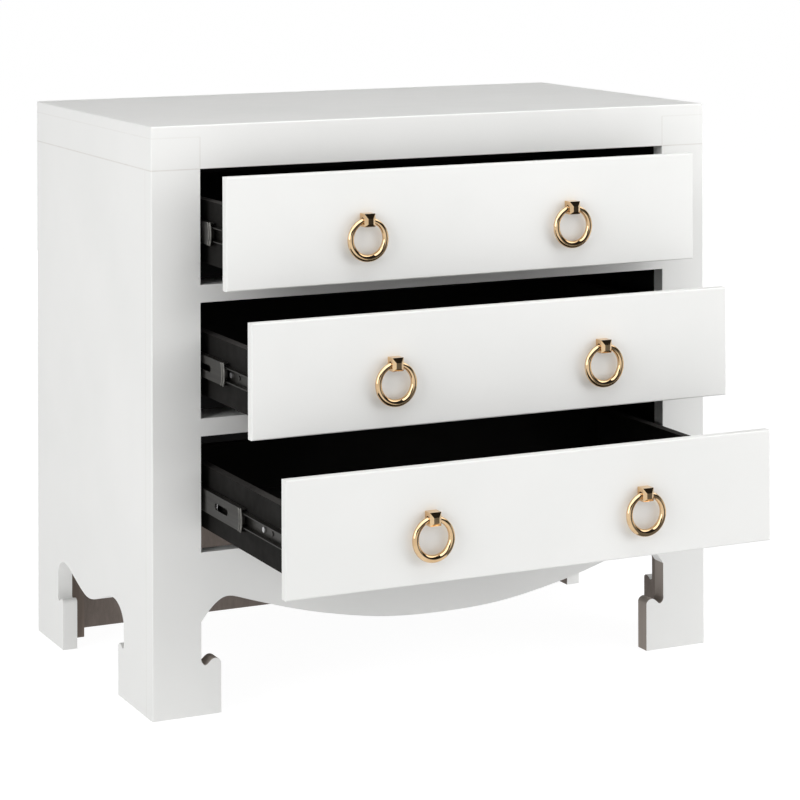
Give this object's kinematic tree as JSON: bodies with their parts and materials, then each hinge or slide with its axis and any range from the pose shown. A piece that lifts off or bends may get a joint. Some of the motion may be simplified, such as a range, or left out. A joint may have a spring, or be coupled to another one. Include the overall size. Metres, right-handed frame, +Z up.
{
  "type": "chest of drawers",
  "caption": "Low white chest of drawers on bracket feet, with a scalloped apron and sides, inset drawers on ball-bearing slides and gold ring pulls.",
  "frame": {"origin": "in the middle of the width, where the back plane meets the floor", "axes": "+Z up; +Y towards the wall behind, so the drawer fronts look along -Y; +X to the right when facing the drawer fronts"},
  "size_m": [0.8, 0.7423, 0.737],
  "materials": {
    "white_paint": "satin white paint on fine board",
    "dark_board": "matt charcoal faced board",
    "bare_board": "bare grey-brown fibreboard",
    "bare_timber": "bare sawn timber",
    "slide_steel": "black zinc plated, slightly oily",
    "bright_steel": "bright zinc plated",
    "gold": "polished pale gold plating"
  },
  "bodies": {
    "carcass": {"top_panel": "white_paint", "left_top_rail": "white_paint", "right_top_rail": "white_paint", "front_top_rail": "white_paint", "back_top_rail": "bare_timber", "left_front_leg": "white_paint", "right_front_leg": "white_paint", "left_side_panel": "white_paint", "right_side_panel": "white_paint", "left_rear_post": "bare_timber", "right_rear_post": "bare_timber", "upper_drawer_rail": "white_paint", "lower_drawer_rail": "white_paint", "front_apron": "white_paint", "back_panel": "bare_board", "slide_cleats": "bare_timber", "bottom_outer_slides": "slide_steel", "middle_outer_slides": "slide_steel", "top_outer_slides": "slide_steel"},
    "bottom_drawer": {"bottom_drawer_front": "white_paint", "bottom_drawer_left_side": "dark_board", "bottom_drawer_right_side": "dark_board", "bottom_drawer_back": "dark_board", "bottom_drawer_bottom": "dark_board", "bottom_inner_slides": "slide_steel", "bottom_pull_posts": "gold", "bottom_pull_screws": "bright_steel"},
    "bottom_slide_middle": {"bottom_middle_slides": "slide_steel"},
    "bottom_slide_outer_cages": {"bottom_outer_ball_cages": "bright_steel"},
    "bottom_slide_inner_cages": {"bottom_inner_ball_cages": "bright_steel"},
    "bottom_left_ring_pull": {"bottom_left_ring": "gold"},
    "bottom_right_ring_pull": {"bottom_right_ring": "gold"},
    "middle_drawer": {"middle_drawer_front": "white_paint", "middle_drawer_left_side": "dark_board", "middle_drawer_right_side": "dark_board", "middle_drawer_back": "dark_board", "middle_drawer_bottom": "dark_board", "middle_inner_slides": "slide_steel", "middle_pull_posts": "gold", "middle_pull_screws": "bright_steel"},
    "middle_slide_middle": {"middle_middle_slides": "slide_steel"},
    "middle_slide_outer_cages": {"middle_outer_ball_cages": "bright_steel"},
    "middle_slide_inner_cages": {"middle_inner_ball_cages": "bright_steel"},
    "middle_left_ring_pull": {"middle_left_ring": "gold"},
    "middle_right_ring_pull": {"middle_right_ring": "gold"},
    "top_drawer": {"top_drawer_front": "white_paint", "top_drawer_left_side": "dark_board", "top_drawer_right_side": "dark_board", "top_drawer_back": "dark_board", "top_drawer_bottom": "dark_board", "top_inner_slides": "slide_steel", "top_pull_posts": "gold", "top_pull_screws": "bright_steel"},
    "top_slide_middle": {"top_middle_slides": "slide_steel"},
    "top_slide_outer_cages": {"top_outer_ball_cages": "bright_steel"},
    "top_slide_inner_cages": {"top_inner_ball_cages": "bright_steel"},
    "top_left_ring_pull": {"top_left_ring": "gold"},
    "top_right_ring_pull": {"top_right_ring": "gold"}
  },
  "joints": [
    {"name": "bottom_drawer_slide", "type": "slide", "parent": "carcass", "child": "bottom_drawer", "axis": [0, -1, 0], "range_m": [-0.2655, 0.1145]},
    {"name": "bottom_middle_member_slide", "type": "slide", "parent": "carcass", "child": "bottom_slide_middle", "axis": [0, -1, 0], "range_m": [-0.14337, 0.06183]},
    {"name": "bottom_outer_cage_slide", "type": "slide", "parent": "carcass", "child": "bottom_slide_outer_cages", "axis": [0, -1, 0], "range_m": [-0.07168, 0.03092]},
    {"name": "bottom_inner_cage_slide", "type": "slide", "parent": "carcass", "child": "bottom_slide_inner_cages", "axis": [0, -1, 0], "range_m": [-0.20444, 0.08816]},
    {"name": "bottom_left_ring_hinge", "type": "hinge", "parent": "bottom_drawer", "child": "bottom_left_ring_pull", "pos_m": [-0.146, -0.7335, 0.2828], "axis": [-1, 0, 0], "range_deg": [-3, 175]},
    {"name": "bottom_right_ring_hinge", "type": "hinge", "parent": "bottom_drawer", "child": "bottom_right_ring_pull", "pos_m": [0.146, -0.7335, 0.2828], "axis": [-1, 0, 0], "range_deg": [-3, 175]},
    {"name": "middle_drawer_slide", "type": "slide", "parent": "carcass", "child": "middle_drawer", "axis": [0, -1, 0], "range_m": [-0.163, 0.217]},
    {"name": "middle_middle_member_slide", "type": "slide", "parent": "carcass", "child": "middle_slide_middle", "axis": [0, -1, 0], "range_m": [-0.08802, 0.11718]},
    {"name": "middle_outer_cage_slide", "type": "slide", "parent": "carcass", "child": "middle_slide_outer_cages", "axis": [0, -1, 0], "range_m": [-0.04401, 0.05859]},
    {"name": "middle_inner_cage_slide", "type": "slide", "parent": "carcass", "child": "middle_slide_inner_cages", "axis": [0, -1, 0], "range_m": [-0.12551, 0.16709]},
    {"name": "middle_left_ring_hinge", "type": "hinge", "parent": "middle_drawer", "child": "middle_left_ring_pull", "pos_m": [-0.146, -0.631, 0.4498], "axis": [-1, 0, 0], "range_deg": [-3, 175]},
    {"name": "middle_right_ring_hinge", "type": "hinge", "parent": "middle_drawer", "child": "middle_right_ring_pull", "pos_m": [0.146, -0.631, 0.4498], "axis": [-1, 0, 0], "range_deg": [-3, 175]},
    {"name": "top_drawer_slide", "type": "slide", "parent": "carcass", "child": "top_drawer", "axis": [0, -1, 0], "range_m": [-0.0825, 0.2975]},
    {"name": "top_middle_member_slide", "type": "slide", "parent": "carcass", "child": "top_slide_middle", "axis": [0, -1, 0], "range_m": [-0.04455, 0.16065]},
    {"name": "top_outer_cage_slide", "type": "slide", "parent": "carcass", "child": "top_slide_outer_cages", "axis": [0, -1, 0], "range_m": [-0.02227, 0.08032]},
    {"name": "top_inner_cage_slide", "type": "slide", "parent": "carcass", "child": "top_slide_inner_cages", "axis": [0, -1, 0], "range_m": [-0.06352, 0.22908]},
    {"name": "top_left_ring_hinge", "type": "hinge", "parent": "top_drawer", "child": "top_left_ring_pull", "pos_m": [-0.146, -0.5505, 0.6168], "axis": [-1, 0, 0], "range_deg": [-3, 175]},
    {"name": "top_right_ring_hinge", "type": "hinge", "parent": "top_drawer", "child": "top_right_ring_pull", "pos_m": [0.146, -0.5505, 0.6168], "axis": [-1, 0, 0], "range_deg": [-3, 175]}
  ],
  "couplings": [
    {"joint": "bottom_middle_member_slide", "follows": "bottom_drawer_slide", "ratio": 0.54},
    {"joint": "bottom_outer_cage_slide", "follows": "bottom_drawer_slide", "ratio": 0.27},
    {"joint": "bottom_inner_cage_slide", "follows": "bottom_drawer_slide", "ratio": 0.77},
    {"joint": "middle_middle_member_slide", "follows": "middle_drawer_slide", "ratio": 0.54},
    {"joint": "middle_outer_cage_slide", "follows": "middle_drawer_slide", "ratio": 0.27},
    {"joint": "middle_inner_cage_slide", "follows": "middle_drawer_slide", "ratio": 0.77},
    {"joint": "top_middle_member_slide", "follows": "top_drawer_slide", "ratio": 0.54},
    {"joint": "top_outer_cage_slide", "follows": "top_drawer_slide", "ratio": 0.27},
    {"joint": "top_inner_cage_slide", "follows": "top_drawer_slide", "ratio": 0.77}
  ]
}
